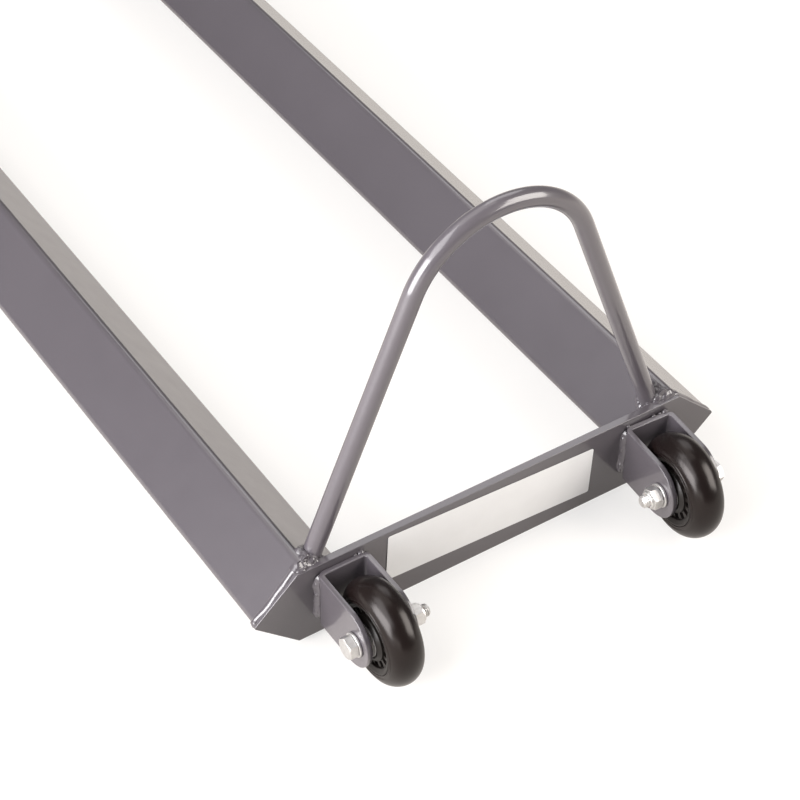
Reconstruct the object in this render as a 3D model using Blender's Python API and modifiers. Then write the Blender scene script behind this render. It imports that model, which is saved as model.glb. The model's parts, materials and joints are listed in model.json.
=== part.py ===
"""Plate cart: two tube rails on their corners, end plates with arched hoops, and two wheels in forks.

Metres, +Z up. The floor is z = 0, the wheel end looks along -Y, and the origin is on the floor under
the middle of the cart's box.
"""
import math

import bmesh
import bpy
from mathutils import Matrix, Vector

# Clearance kept between pieces that touch on the real cart
GAP = 0.0003

# Rails: square steel tubes standing on one corner
TUBE_SIDE = 0.050
TUBE_WALL = 0.0025
TUBE_CORNER_RADIUS = 0.0045
RAIL_LENGTH = 1.115

# End plates: flat bars cut to six-sided blanks that cover the tube ends
CART_WIDTH = 0.340
END_PLATE_HEIGHT = 0.057
END_PLATE_THICKNESS = 0.005
END_PLATE_CUT_RUN = 0.030
TIP_COVER = 0.0005
PLATE_EDGE_RADIUS = 0.0006

# End hoops: round bar bent to an arch, its feet on the rails behind the end plate
HOOP_BAR_DIAMETER = 0.012
HOOP_BEND_RADIUS = 0.062
HOOP_INSET = 0.0472
HOOP_RISE = 0.2090
HOOP_LEAN = math.radians(1.6)

# Forks: bent strip brackets welded to the wheel end's plate, the right one a few degrees askew
FORK_STRIP = 0.0035
FORK_INSIDE = 0.0284
FORK_HEIGHT = 0.0408
FORK_REACH = 0.056
FORK_BEND_RADIUS = 0.0015
FORK_EDGE_RADIUS = 0.0005
FORK_DROP = 0.0050
FORK_INSET = 0.0581
FORK_SHIFT = 0.0022
FORK_YAW = {"left": 0.0, "right": math.radians(-3.2)}

# Wheels: rounded tyres moulded on plastic cores
WHEEL_DIAMETER = 0.0685
TYRE_WIDTH = 0.0230
TYRE_SIDE_WALL = 0.0003
CORE_RIM_RADIUS = 0.0231
CORE_RIM_WALL = 0.0010
CORE_WEB_WIDTH = 0.0200
CORE_BARREL_WALL = 0.0024
CORE_NOSE_WALL = 0.0012
CORE_RIB_DEPTH = 0.0012
CORE_LEDGE = 0.0001
CORE_LAND = 0.0003
WINDOW_COUNT = 16
WINDOW_SHARE = 0.58
WINDOW_INNER_LAND = 0.0013
WINDOW_OUTER_LAND = 0.0031
WINDOW_TURN = {"left": math.radians(1.0), "right": math.radians(-5.1)}
AXLE_REACH = 0.0430
WHEEL_SHIFT = 0.0008

# Ball bearings
BEARING_OUTER_DIAMETER = 0.022
BEARING_WIDTH = 0.007
BEARING_RING_WALL = 0.0016
BEARING_SPACING = 0.010
SHIELD_THICKNESS = 0.0006
SHIELD_INSET = 0.0004

# Axle bolts, washers and lock nuts
BOLT_DIAMETER = 0.008
HEX_SIDES = 6
HEX_ACROSS_FLATS = 0.013
HEX_CROWN_ANGLE = math.radians(30)
BOLT_HEAD_HEIGHT = 0.0053
NUT_HEX_HEIGHT = 0.0062
NUT_COLLAR_HEIGHT = 0.0018
NUT_COLLAR_RADIUS = 0.0056
NUT_COLLAR_ROUNDING = 0.0007
THREAD_END = 0.0040
THREAD_CHAMFER = 0.0010
WASHER_DIAMETER = 0.016
WASHER_THICKNESS = 0.0016
SPACER_WALL = 0.0022

# Information sticker, blank
LABEL_WIDTH = 0.151
LABEL_HEIGHT = 0.0366
LABEL_THICKNESS = 0.0002
LABEL_SHIFT = -0.0028
LABEL_DROP = 0.0248
LABEL_TURN = math.radians(2.6)

# Segments around round shapes
CORNER_SEGMENTS = 4
BAR_SIDES_RESOLUTION = 3
BEND_STEPS = 20
FORK_END_SEGMENTS = 14
TYRE_STEPS = 48
TYRE_CROWN_STEPS = 10
TURNED_STEPS = 24
SMOOTH_ANGLE = math.radians(35)
MERGE_DISTANCE = 1e-6

# Places worked out from the sizes above
TUBE_HALF_DIAGONAL = TUBE_SIDE / math.sqrt(2)
TUBE_CORNER_CUT = TUBE_CORNER_RADIUS * (math.sqrt(2) - 1)
RAIL_X = CART_WIDTH / 2 - TIP_COVER - TUBE_HALF_DIAGONAL
RAIL_Z = TUBE_HALF_DIAGONAL - TUBE_CORNER_CUT
PLATE_TOP = RAIL_Z + END_PLATE_HEIGHT / 2
BAR_RADIUS = HOOP_BAR_DIAMETER / 2
HOOP_HALF_SPAN = CART_WIDTH / 2 - HOOP_INSET
FORK_SPACING = CART_WIDTH - 2 * FORK_INSET
WHEEL_RADIUS = WHEEL_DIAMETER / 2
AXLE_Z = PLATE_TOP - FORK_DROP - FORK_HEIGHT / 2
BAR_SETBACK = END_PLATE_THICKNESS + GAP + BAR_RADIUS / math.cos(HOOP_LEAN)
HOOP_OVERHANG = HOOP_RISE * math.sin(HOOP_LEAN) + BAR_RADIUS - BAR_SETBACK
FORK_OUTER_X = FORK_INSIDE / 2 + FORK_STRIP
FORK_OUTER_BEND = FORK_BEND_RADIUS + FORK_STRIP


def stand_off(yaw):
    """Distance from the end plate to the middle of a fork's back, its nearest corner kept at the gap."""
    corner = (FORK_OUTER_X - FORK_OUTER_BEND) * math.sin(abs(yaw))
    return corner + FORK_OUTER_BEND * (1 - math.cos(yaw)) + GAP


WHEEL_OVERHANG = max(map(stand_off, FORK_YAW.values())) + AXLE_REACH + WHEEL_RADIUS
FRAME_LENGTH = RAIL_LENGTH + 2 * (END_PLATE_THICKNESS + GAP)
CART_LENGTH = WHEEL_OVERHANG + FRAME_LENGTH + HOOP_OVERHANG
WHEEL_END_Y = WHEEL_OVERHANG - CART_LENGTH / 2
RAIL_START_Y = WHEEL_END_Y + END_PLATE_THICKNESS + GAP
FAR_END_Y = WHEEL_END_Y + FRAME_LENGTH
BOLT_RADIUS = BOLT_DIAMETER / 2
BORE_RADIUS = BOLT_RADIUS + GAP
BEARING_RADIUS = BEARING_OUTER_DIAMETER / 2
HUB_HALF_WIDTH = BEARING_SPACING / 2 + BEARING_WIDTH
BARREL_RADIUS = BEARING_RADIUS + GAP + CORE_BARREL_WALL
WINDOW_INNER = BARREL_RADIUS + WINDOW_INNER_LAND
WINDOW_OUTER = CORE_RIM_RADIUS - CORE_RIM_WALL - WINDOW_OUTER_LAND

PAINT = ((0.180, 0.168, 0.178), 0.0, 0.32)
TYRE_BLACK = ((0.022, 0.018, 0.016), 0.0, 0.30)
CORE_BLACK = ((0.015, 0.013, 0.012), 0.0, 0.45)
ZINC = ((0.72, 0.72, 0.70), 1.0, 0.25)
BEARING_STEEL = ((0.56, 0.56, 0.57), 1.0, 0.22)
LABEL_WHITE = ((0.86, 0.85, 0.83), 0.0, 0.45)


def clear_scene():
    for item in list(bpy.data.objects):
        bpy.data.objects.remove(item, do_unlink=True)


def new_collection(name):
    collection = bpy.data.collections.new(name)
    bpy.context.scene.collection.children.link(collection)
    return collection


def give_material(item, look):
    """Give an object its own Principled material."""
    colour, metallic, roughness = look
    material = bpy.data.materials.new(item.name)
    material.use_nodes = True
    shader = material.node_tree.nodes["Principled BSDF"]
    shader.inputs["Base Color"].default_value = (*colour, 1.0)
    shader.inputs["Metallic"].default_value = metallic
    shader.inputs["Roughness"].default_value = roughness
    item.data.materials.append(material)


def new_part(name, mesh, look, matrix=None, parent=None):
    """Put a mesh in the scene as one named sub-part."""
    item = bpy.data.objects.new(name, mesh)
    PARTS.objects.link(item)
    if parent is not None:
        item.parent = parent
    if matrix is not None:
        item.matrix_local = matrix
    give_material(item, look)
    mesh.shade_smooth()
    mesh.set_sharp_from_angle(angle=SMOOTH_ANGLE)
    return item


def new_cutter(name, mesh, matrix):
    item = bpy.data.objects.new(name, mesh)
    CUTTERS.objects.link(item)
    item.matrix_world = matrix
    item.hide_render = True
    item.display_type = "WIRE"
    return item


def cut(item, cutter, operation="DIFFERENCE"):
    modifier = item.modifiers.new(cutter.name, "BOOLEAN")
    modifier.operation = operation
    modifier.object = cutter


def round_edges(item, radius, segments=2):
    bevel = item.modifiers.new("rounded edges", "BEVEL")
    bevel.width = radius
    bevel.segments = segments
    bevel.limit_method = "ANGLE"
    bevel.angle_limit = SMOOTH_ANGLE


def mesh_of_curve(curve):
    """Turn a curve into a closed mesh, its caps welded to its sides."""
    holder = bpy.data.objects.new(curve.name, curve)
    bpy.context.scene.collection.objects.link(holder)
    evaluated = holder.evaluated_get(bpy.context.evaluated_depsgraph_get())
    mesh = bpy.data.meshes.new_from_object(evaluated)
    bpy.data.objects.remove(holder, do_unlink=True)
    work = bmesh.new()
    work.from_mesh(mesh)
    bmesh.ops.remove_doubles(work, verts=work.verts, dist=MERGE_DISTANCE)
    bmesh.ops.recalc_face_normals(work, faces=work.faces)
    work.to_mesh(mesh)
    work.free()
    return mesh


def flat_mesh(name, outlines, thickness):
    """A flat blank lying in XY and centred on z = 0; a second outline is a hole in the first."""
    curve = bpy.data.curves.new(name, "CURVE")
    curve.dimensions = "2D"
    curve.fill_mode = "BOTH"
    curve.extrude = thickness / 2
    for outline in outlines:
        spline = curve.splines.new("POLY")
        spline.points.add(len(outline) - 1)
        spline.use_cyclic_u = True
        for point, (x, y) in zip(spline.points, outline):
            point.co = (x, y, 0.0, 1.0)
    return mesh_of_curve(curve)


def rounded_outline(corners, segments=CORNER_SEGMENTS):
    """Outline through corners given as (x, y, radius), each radius turned into an arc."""
    outline = []
    for index, (x, y, radius) in enumerate(corners):
        corner = Vector((x, y))
        if radius <= 0:
            outline.append(tuple(corner))
            continue
        before = (Vector(corners[index - 1][:2]) - corner).normalized()
        after = (Vector(corners[(index + 1) % len(corners)][:2]) - corner).normalized()
        half_angle = before.angle(after) / 2
        start = corner + before * radius / math.tan(half_angle)
        centre = corner + (before + after).normalized() * radius / math.sin(half_angle)
        sweep = before.angle_signed(after)
        turn = math.copysign(math.pi - abs(sweep), sweep)
        for step in range(segments + 1):
            arm = start - centre
            arm.rotate(Matrix.Rotation(turn * step / segments, 2))
            outline.append(tuple(centre + arm))
    return outline


def turned_mesh(name, profile, steps=TURNED_STEPS):
    """Turn a closed profile of (radius, height) about Z; it runs down its outer side first."""
    mesh = bpy.data.meshes.new(name)
    work = bmesh.new()
    verts = [work.verts.new((radius, 0.0, height)) for radius, height in profile]
    for first, second in zip(verts, verts[1:] + verts[:1]):
        work.edges.new((first, second))
    work.to_mesh(mesh)
    work.free()
    holder = bpy.data.objects.new(name, mesh)
    bpy.context.scene.collection.objects.link(holder)
    screw = holder.modifiers.new("turn", "SCREW")
    screw.axis = "Z"
    screw.angle = 2 * math.pi
    screw.steps = steps
    screw.render_steps = steps
    screw.use_merge_vertices = True
    screw.merge_threshold = MERGE_DISTANCE
    evaluated = holder.evaluated_get(bpy.context.evaluated_depsgraph_get())
    solid = bpy.data.meshes.new_from_object(evaluated)
    solid.name = name
    bpy.data.objects.remove(holder, do_unlink=True)
    return solid


def ring_profile(inner, outer, width, centre=0.0):
    top = centre + width / 2
    bottom = centre - width / 2
    return [(outer, top), (outer, bottom), (inner, bottom), (inner, top)]


def cylinder_mesh(name, radius, depth, sides):
    mesh = bpy.data.meshes.new(name)
    work = bmesh.new()
    bmesh.ops.create_cone(work, cap_ends=True, segments=sides, radius1=radius, radius2=radius, depth=depth)
    work.to_mesh(mesh)
    work.free()
    return mesh


def box_mesh(name, size):
    mesh = bpy.data.meshes.new(name)
    work = bmesh.new()
    bmesh.ops.create_cube(work, size=1.0)
    bmesh.ops.scale(work, vec=size, verts=work.verts)
    work.to_mesh(mesh)
    work.free()
    return mesh


def corner_square(side, corner_radius):
    """Outline of a square standing on one corner, centred on the origin."""
    reach = side / math.sqrt(2)
    return rounded_outline([(reach, 0, corner_radius), (0, reach, corner_radius),
                            (-reach, 0, corner_radius), (0, -reach, corner_radius)])


# A blank drawn in XY stands up facing -Y after this turn: x stays x, y becomes z
STAND_UP = Matrix.Rotation(math.pi / 2, 4, "X")
# A shape turned about Z lies along X after this turn
ALONG_X = Matrix.Rotation(math.pi / 2, 4, "Y")
# The axle's middle, from the middle of its fork's back
AXLE_PLACE = Matrix.Translation((0, -AXLE_REACH, 0))


def build_rail(name, side):
    outer = corner_square(TUBE_SIDE, TUBE_CORNER_RADIUS)
    inner = corner_square(TUBE_SIDE - 2 * TUBE_WALL, TUBE_CORNER_RADIUS - TUBE_WALL)
    mesh = flat_mesh(name, [outer, inner], RAIL_LENGTH)
    middle = RAIL_START_Y + RAIL_LENGTH / 2
    return new_part(name, mesh, PAINT, Matrix.Translation((side * RAIL_X, middle, RAIL_Z)) @ STAND_UP)


def build_end_plate(name, outer_y, inward):
    half = CART_WIDTH / 2
    corner = half - END_PLATE_CUT_RUN
    rise = END_PLATE_HEIGHT / 2
    outline = [(half, 0), (corner, rise), (-corner, rise), (-half, 0), (-corner, -rise), (corner, -rise)]
    mesh = flat_mesh(name, [outline], END_PLATE_THICKNESS)
    middle = outer_y + inward * END_PLATE_THICKNESS / 2
    item = new_part(name, mesh, PAINT, Matrix.Translation((0, middle, RAIL_Z)) @ STAND_UP)
    round_edges(item, PLATE_EDGE_RADIUS)
    return item


def hoop_path():
    """Centre line of one hoop in its own plane: x across, y up from the end plate's top edge."""
    centre_height = HOOP_RISE - HOOP_BEND_RADIUS
    foot_distance = math.hypot(HOOP_HALF_SPAN, centre_height)
    foot_angle = math.atan2(-centre_height, HOOP_HALF_SPAN)
    start_angle = foot_angle + math.acos(HOOP_BEND_RADIUS / foot_distance)
    arc = []
    for step in range(BEND_STEPS + 1):
        angle = start_angle + (math.pi - 2 * start_angle) * step / BEND_STEPS
        across = HOOP_BEND_RADIUS * math.cos(angle)
        arc.append(Vector((across, centre_height + HOOP_BEND_RADIUS * math.sin(angle))))
    leg = arc[0] - Vector((HOOP_HALF_SPAN, 0))
    foot = arc[0] - leg * (1 + TUBE_SIDE / 2 / leg.length)
    return [foot, *arc, Vector((-foot.x, foot.y))]


def build_hoop(name, outer_y, inward):
    curve = bpy.data.curves.new(name, "CURVE")
    curve.dimensions = "3D"
    curve.bevel_depth = BAR_RADIUS
    curve.bevel_resolution = BAR_SIDES_RESOLUTION
    curve.use_fill_caps = True
    path = hoop_path()
    spline = curve.splines.new("POLY")
    spline.points.add(len(path) - 1)
    for point, (x, y) in zip(spline.points, path):
        point.co = (x, y, 0.0, 1.0)
    mesh = mesh_of_curve(curve)
    # the bar clears the plate's top inner edge by the gap, and leans outwards above it
    bar_y = outer_y + inward * BAR_SETBACK
    lean = Matrix.Rotation(inward * HOOP_LEAN, 4, "X")
    place = Matrix.Translation((0, bar_y, PLATE_TOP)) @ lean @ STAND_UP
    item = new_part(name, mesh, PAINT, place)
    # each foot is cut to sit on its rail's sloping inner face
    foot_cut = box_mesh(name + "_foot_cut", (TUBE_SIDE + 2 * GAP, 4 * TUBE_SIDE, TUBE_SIDE + 2 * GAP))
    turn = Matrix.Rotation(math.pi / 4, 4, "Y")
    for side in (-1, 1):
        rail_place = Matrix.Translation((side * RAIL_X, bar_y, RAIL_Z)) @ turn
        cut(item, new_cutter(name + "_foot_cut", foot_cut, rail_place))
    return item


def fork_section():
    """Section of the bent strip seen from above: open towards -Y, its web's back on y = 0."""
    inner = FORK_INSIDE / 2
    outer = FORK_OUTER_X
    tip = -FORK_REACH
    return rounded_outline([
        (-outer, 0, FORK_OUTER_BEND), (-outer, tip, 0), (-inner, tip, 0),
        (-inner, -FORK_STRIP, FORK_BEND_RADIUS), (inner, -FORK_STRIP, FORK_BEND_RADIUS),
        (inner, tip, 0), (outer, tip, 0), (outer, 0, FORK_OUTER_BEND)])


def fork_side():
    """Side view of the fork: a strip with a round end, along -X from the web's back."""
    radius = FORK_HEIGHT / 2
    centre = -FORK_REACH + radius
    overrun = FORK_STRIP
    outline = [(overrun, radius)]
    for step in range(FORK_END_SEGMENTS + 1):
        angle = math.pi / 2 + math.pi * step / FORK_END_SEGMENTS
        outline.append((centre + radius * math.cos(angle), radius * math.sin(angle)))
    outline.append((overrun, -radius))
    return outline


def build_fork(name, pose):
    item = new_part(name, flat_mesh(name, [fork_section()], FORK_HEIGHT), PAINT, pose)
    side_mesh = flat_mesh(name + "_ends", [fork_side()], 2 * FORK_OUTER_X + 2 * FORK_STRIP)
    # drawn along -X it comes to lie along -Y, its thickness across X
    turn = Matrix.Rotation(math.pi / 2, 4, "Z") @ STAND_UP
    cut(item, new_cutter(name + "_ends", side_mesh, pose @ turn), "INTERSECT")
    bore = cylinder_mesh(name + "_bore", BORE_RADIUS, 2 * FORK_OUTER_X + 2 * FORK_STRIP, TURNED_STEPS)
    cut(item, new_cutter(name + "_bore", bore, pose @ AXLE_PLACE @ ALONG_X))
    round_edges(item, FORK_EDGE_RADIUS)
    return item


def tyre_profile():
    inner = CORE_RIM_RADIUS + GAP
    half = TYRE_WIDTH / 2
    shoulder = inner + TYRE_SIDE_WALL
    crown = WHEEL_RADIUS - shoulder
    profile = []
    for step in range(TYRE_CROWN_STEPS + 1):
        angle = math.pi * step / TYRE_CROWN_STEPS
        profile.append((shoulder + crown * math.sin(angle), half * math.cos(angle)))
    return profile + [(inner, -half), (inner, half)]


def core_profile():
    """Hub with bearing seats, a ring of ribs set back in a groove, and a sloping face out to the rim."""
    rim_inner = CORE_RIM_RADIUS - CORE_RIM_WALL
    half = TYRE_WIDTH / 2
    web = CORE_WEB_WIDTH / 2
    rib = web - CORE_RIB_DEPTH
    groove_outer = WINDOW_OUTER + CORE_LEDGE
    groove_inner = WINDOW_INNER - CORE_LEDGE
    slope = groove_outer + CORE_LAND
    bore = BEARING_RADIUS + GAP
    nose = bore + CORE_NOSE_WALL
    stop = bore - BEARING_RING_WALL
    seat = BEARING_SPACING / 2 - GAP
    side = [(rim_inner, half), (slope, web), (groove_outer, web), (groove_outer, rib), (groove_inner, rib),
            (groove_inner, web), (nose, HUB_HALF_WIDTH), (bore, HUB_HALF_WIDTH), (bore, seat), (stop, seat)]
    other = [(radius, -height) for radius, height in side]
    return [(CORE_RIM_RADIUS, half), (CORE_RIM_RADIUS, -half)] + other + side[::-1]


def outer_race_profile():
    """Outer ring with its two dust shields; the shields leave the ball space open at the inner ring."""
    outer = BEARING_RADIUS
    track = outer - BEARING_RING_WALL
    lip = BORE_RADIUS + BEARING_RING_WALL + GAP
    half = BEARING_WIDTH / 2
    face = half - SHIELD_INSET
    back = face - SHIELD_THICKNESS
    return [(outer, half), (outer, -half), (track, -half), (track, -face), (lip, -face), (lip, -back),
            (track, -back), (track, back), (lip, back), (lip, face), (track, face), (track, half)]


def build_wheel(side_name, pose, outboard):
    """Everything on one axle; outboard is the X direction that the bolt's head points to."""
    tag = "_" + side_name
    axle = bpy.data.objects.new("wheel_axle" + tag, None)
    PARTS.objects.link(axle)
    axle.matrix_basis = pose @ AXLE_PLACE
    lying = ALONG_X if outboard > 0 else Matrix.Rotation(-math.pi / 2, 4, "Y")

    def along(distance):
        """Place along the axle, counted outboard from the fork's middle."""
        return Matrix.Translation((outboard * distance, 0, 0)) @ lying

    middle = along(-WHEEL_SHIFT)
    new_part("tyre" + tag, turned_mesh("tyre" + tag, tyre_profile(), TYRE_STEPS), TYRE_BLACK, middle, axle)
    build_core("wheel_core" + tag, middle, axle, WINDOW_TURN[side_name])
    for word, side in (("_outboard", 1), ("_inboard", -1)):
        place = along(side * (BEARING_SPACING + BEARING_WIDTH) / 2 - WHEEL_SHIFT)
        name = "bearing_outer_race" + word + tag
        new_part(name, turned_mesh(name, outer_race_profile()), BEARING_STEEL, place, axle)
        name = "bearing_inner_race" + word + tag
        ring = ring_profile(BORE_RADIUS, BORE_RADIUS + BEARING_RING_WALL, BEARING_WIDTH)
        new_part(name, turned_mesh(name, ring), BEARING_STEEL, place, axle)
    name = "bearing_spacer" + tag
    ring = ring_profile(BORE_RADIUS, BORE_RADIUS + BEARING_RING_WALL, BEARING_SPACING - 2 * GAP)
    new_part(name, turned_mesh(name, ring), ZINC, middle, axle)
    build_fasteners(tag, along, axle)


def build_core(name, place, parent, window_turn):
    item = new_part(name, turned_mesh(name, core_profile(), TYRE_STEPS), CORE_BLACK, place, parent)
    middle = (WINDOW_INNER + WINDOW_OUTER) / 2
    depth = WINDOW_OUTER - WINDOW_INNER
    width = 2 * math.pi * middle / WINDOW_COUNT * WINDOW_SHARE
    work = bmesh.new()
    for index in range(WINDOW_COUNT):
        turn = Matrix.Rotation(window_turn + 2 * math.pi * index / WINDOW_COUNT, 4, "Z")
        window = bmesh.ops.create_cube(work, size=1.0)["verts"]
        bmesh.ops.scale(work, vec=(depth, width, 2 * CORE_WEB_WIDTH), verts=window)
        bmesh.ops.transform(work, matrix=turn @ Matrix.Translation((middle, 0, 0)), verts=window)
    mesh = bpy.data.meshes.new(name + "_windows")
    work.to_mesh(mesh)
    work.free()
    cut(item, new_cutter(name + "_windows", mesh, parent.matrix_basis @ place))
    return item


def build_fasteners(tag, along, axle):
    for word, sign in (("_outboard", 1), ("_inboard", -1)):
        seat = HUB_HALF_WIDTH - sign * WHEEL_SHIFT
        side_gap = FORK_INSIDE / 2 - seat
        name = "side_spacer" + word + tag
        ring = ring_profile(BORE_RADIUS, BORE_RADIUS + SPACER_WALL, side_gap - 2 * GAP)
        new_part(name, turned_mesh(name, ring), ZINC, along(sign * (seat + side_gap / 2)), axle)
        name = "washer" + word + tag
        ring = ring_profile(BORE_RADIUS, WASHER_DIAMETER / 2, WASHER_THICKNESS)
        place = along(sign * (FORK_OUTER_X + GAP + WASHER_THICKNESS / 2))
        new_part(name, turned_mesh(name, ring), ZINC, place, axle)
    clamp = FORK_OUTER_X + WASHER_THICKNESS + 2 * GAP
    build_bolt("axle_bolt" + tag, clamp, along, axle)
    build_nut("lock_nut" + tag, clamp, along, axle)


def hex_radius():
    return HEX_ACROSS_FLATS / math.sqrt(3)


def build_bolt(name, clamp, along, axle):
    """Hexagon head and plain shank joined into one solid, ending in a chamfered point."""
    end = -(clamp + NUT_HEX_HEIGHT + NUT_COLLAR_HEIGHT + THREAD_END)
    shank = [(BOLT_RADIUS, clamp + BOLT_HEAD_HEIGHT / 2), (BOLT_RADIUS, end + THREAD_CHAMFER),
             (BOLT_RADIUS - THREAD_CHAMFER, end), (0.0, end), (0.0, clamp + BOLT_HEAD_HEIGHT / 2)]
    head = cylinder_mesh(name, hex_radius(), BOLT_HEAD_HEIGHT, HEX_SIDES)
    item = new_part(name, head, ZINC, along(clamp + BOLT_HEAD_HEIGHT / 2), axle)
    shank_mesh = turned_mesh(name + "_shank", shank)
    cut(item, new_cutter(name + "_shank", shank_mesh, axle.matrix_basis @ along(0)), "UNION")
    crown = turned_mesh(name + "_crown", crown_profile(clamp, BOLT_HEAD_HEIGHT))
    cut(item, new_cutter(name + "_crown", crown, axle.matrix_basis @ along(0)), "INTERSECT")
    return item


def crown_profile(clamp, height):
    """Cone that takes the sharp corners off a hexagon's outer face, open wide over the rest of the bolt."""
    wide = 2 * hex_radius()
    top = clamp + height
    flat = HEX_ACROSS_FLATS / 2
    drop = (wide - flat) * math.tan(HEX_CROWN_ANGLE)
    low = -(clamp + NUT_HEX_HEIGHT + NUT_COLLAR_HEIGHT + 2 * THREAD_END)
    return [(0.0, top), (flat, top), (wide, top - drop), (wide, low), (0.0, low)]


def build_nut(name, clamp, along, axle):
    """Hexagon with a round locking collar, bored for the bolt."""
    hexagon = cylinder_mesh(name, hex_radius(), NUT_HEX_HEIGHT, HEX_SIDES)
    item = new_part(name, hexagon, ZINC, along(-(clamp + NUT_HEX_HEIGHT / 2)), axle)
    top = -(clamp + NUT_HEX_HEIGHT)
    inside = top + NUT_HEX_HEIGHT / 2
    end = top - NUT_COLLAR_HEIGHT
    collar = [(NUT_COLLAR_RADIUS, inside), (NUT_COLLAR_RADIUS, end + NUT_COLLAR_ROUNDING),
              (NUT_COLLAR_RADIUS - NUT_COLLAR_ROUNDING, end), (0.0, end), (0.0, inside)]
    collar_mesh = turned_mesh(name + "_collar", collar)
    cut(item, new_cutter(name + "_collar", collar_mesh, axle.matrix_basis @ along(0)), "UNION")
    bore = cylinder_mesh(name + "_bore", BORE_RADIUS, 4 * NUT_HEX_HEIGHT, TURNED_STEPS)
    cut(item, new_cutter(name + "_bore", bore, axle.matrix_basis @ along(top)))
    return item


def build_label(name):
    mesh = box_mesh(name, (LABEL_WIDTH, LABEL_THICKNESS, LABEL_HEIGHT))
    turn = Matrix.Rotation(LABEL_TURN, 4, "Y")
    place = (LABEL_SHIFT, WHEEL_END_Y - GAP - LABEL_THICKNESS / 2, PLATE_TOP - LABEL_DROP)
    return new_part(name, mesh, LABEL_WHITE, Matrix.Translation(place) @ turn)


clear_scene()
PARTS = new_collection("plate_cart")
CUTTERS = new_collection("cutters")

build_rail("rail_left", -1)
build_rail("rail_right", 1)
build_end_plate("end_plate_front", WHEEL_END_Y, 1)
build_end_plate("end_plate_rear", FAR_END_Y, -1)
build_hoop("hoop_front", WHEEL_END_Y, 1)
build_hoop("hoop_rear", FAR_END_Y, -1)
for SIDE_NAME, SIDE in (("left", -1), ("right", 1)):
    YAW = FORK_YAW[SIDE_NAME]
    FORK_PLACE = (FORK_SHIFT + SIDE * FORK_SPACING / 2, WHEEL_END_Y - stand_off(YAW), AXLE_Z)
    POSE = Matrix.Translation(FORK_PLACE) @ Matrix.Rotation(YAW, 4, "Z")
    build_fork("fork_" + SIDE_NAME, POSE)
    build_wheel(SIDE_NAME, POSE, SIDE)
build_label("blank_label")
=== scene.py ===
"""Looks of the plate cart: painted steel frame, weld beads, wheels, zinc fasteners and a blank sticker.

Metres, +Z up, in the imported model's own frame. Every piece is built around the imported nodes.
"""
import json
from math import acos, atan2, copysign, cos, exp, hypot, pi, radians, sin, sqrt, tan

import bmesh
import bpy
import numpy as np
from mathutils import Matrix, Vector, noise


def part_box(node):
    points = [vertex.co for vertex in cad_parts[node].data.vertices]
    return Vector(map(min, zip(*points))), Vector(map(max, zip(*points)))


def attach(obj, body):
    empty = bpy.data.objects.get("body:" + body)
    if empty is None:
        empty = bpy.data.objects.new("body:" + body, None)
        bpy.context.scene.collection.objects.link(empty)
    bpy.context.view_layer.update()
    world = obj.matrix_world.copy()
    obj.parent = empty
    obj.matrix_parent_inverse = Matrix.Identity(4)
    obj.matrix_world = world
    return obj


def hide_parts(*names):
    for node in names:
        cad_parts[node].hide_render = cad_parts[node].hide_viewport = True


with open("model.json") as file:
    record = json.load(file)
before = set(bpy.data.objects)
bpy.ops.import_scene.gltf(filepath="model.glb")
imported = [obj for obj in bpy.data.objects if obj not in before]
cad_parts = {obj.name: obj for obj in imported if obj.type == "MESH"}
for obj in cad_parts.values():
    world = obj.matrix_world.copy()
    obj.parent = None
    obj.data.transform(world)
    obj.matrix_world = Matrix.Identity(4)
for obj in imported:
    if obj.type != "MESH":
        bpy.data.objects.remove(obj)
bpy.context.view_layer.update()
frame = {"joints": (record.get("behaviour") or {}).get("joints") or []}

# Sizes shared with the solids
TUBE_SIDE = 0.050
TUBE_WALL = 0.0025
TUBE_CORNER_RADIUS = 0.0045
PLATE_CUT_RUN = 0.030
PLATE_EDGE_RADIUS = 0.0004
BAR_RADIUS = 0.006
HOOP_BEND_RADIUS = 0.062
HOOP_HALF_SPAN = 0.1228
HOOP_RISE = 0.2090
HOOP_LEAN = radians(1.53)
FORK_STRIP = 0.0035
FORK_INSIDE = 0.0284
FORK_HEIGHT = 0.0408
FORK_REACH = 0.056
FORK_BEND_RADIUS = 0.0015
FORK_EDGE_RADIUS = 0.0005
WHEEL_RADIUS = 0.03425
TYRE_HALF_WIDTH = 0.0115
CORE_RIM_RADIUS = 0.0231
CORE_RIM_WALL = 0.0010
CORE_WEB_HALF = 0.0100
BARREL_HALF = 0.0120
WINDOW_COUNT = 16
WINDOW_SHARE = 0.58
WINDOW_INNER = 0.0150
WINDOW_OUTER = 0.0190
WINDOW_TURN = {"left": radians(1.0), "right": radians(-5.1)}
CORE_RIB_DEPTH = 0.0012
AXLE_REACH = 0.0430
WHEEL_SHIFT = 0.0008
BEARING_RADIUS = 0.011
BEARING_WIDTH = 0.007
BEARING_SPACING = 0.010
RING_WALL = 0.0016
BOLT_RADIUS = 0.004
HEX_FLATS = 0.013
HEAD_HEIGHT = 0.0053
NUT_HEIGHT = 0.0062
COLLAR_HEIGHT = 0.0018
COLLAR_RADIUS = 0.0056
THREAD_END = 0.0040
THREAD_PITCH = 0.00125
WASHER_RADIUS = 0.008
WASHER_THICKNESS = 0.0016
SPACER_WALL = 0.0022
LABEL_WIDTH = 0.151
LABEL_HEIGHT = 0.0366
LABEL_TURN = radians(2.6)
GAP = 0.0003
FORK_OUTER = FORK_INSIDE / 2 + FORK_STRIP

SMOOTH_ANGLE = radians(32)

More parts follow.
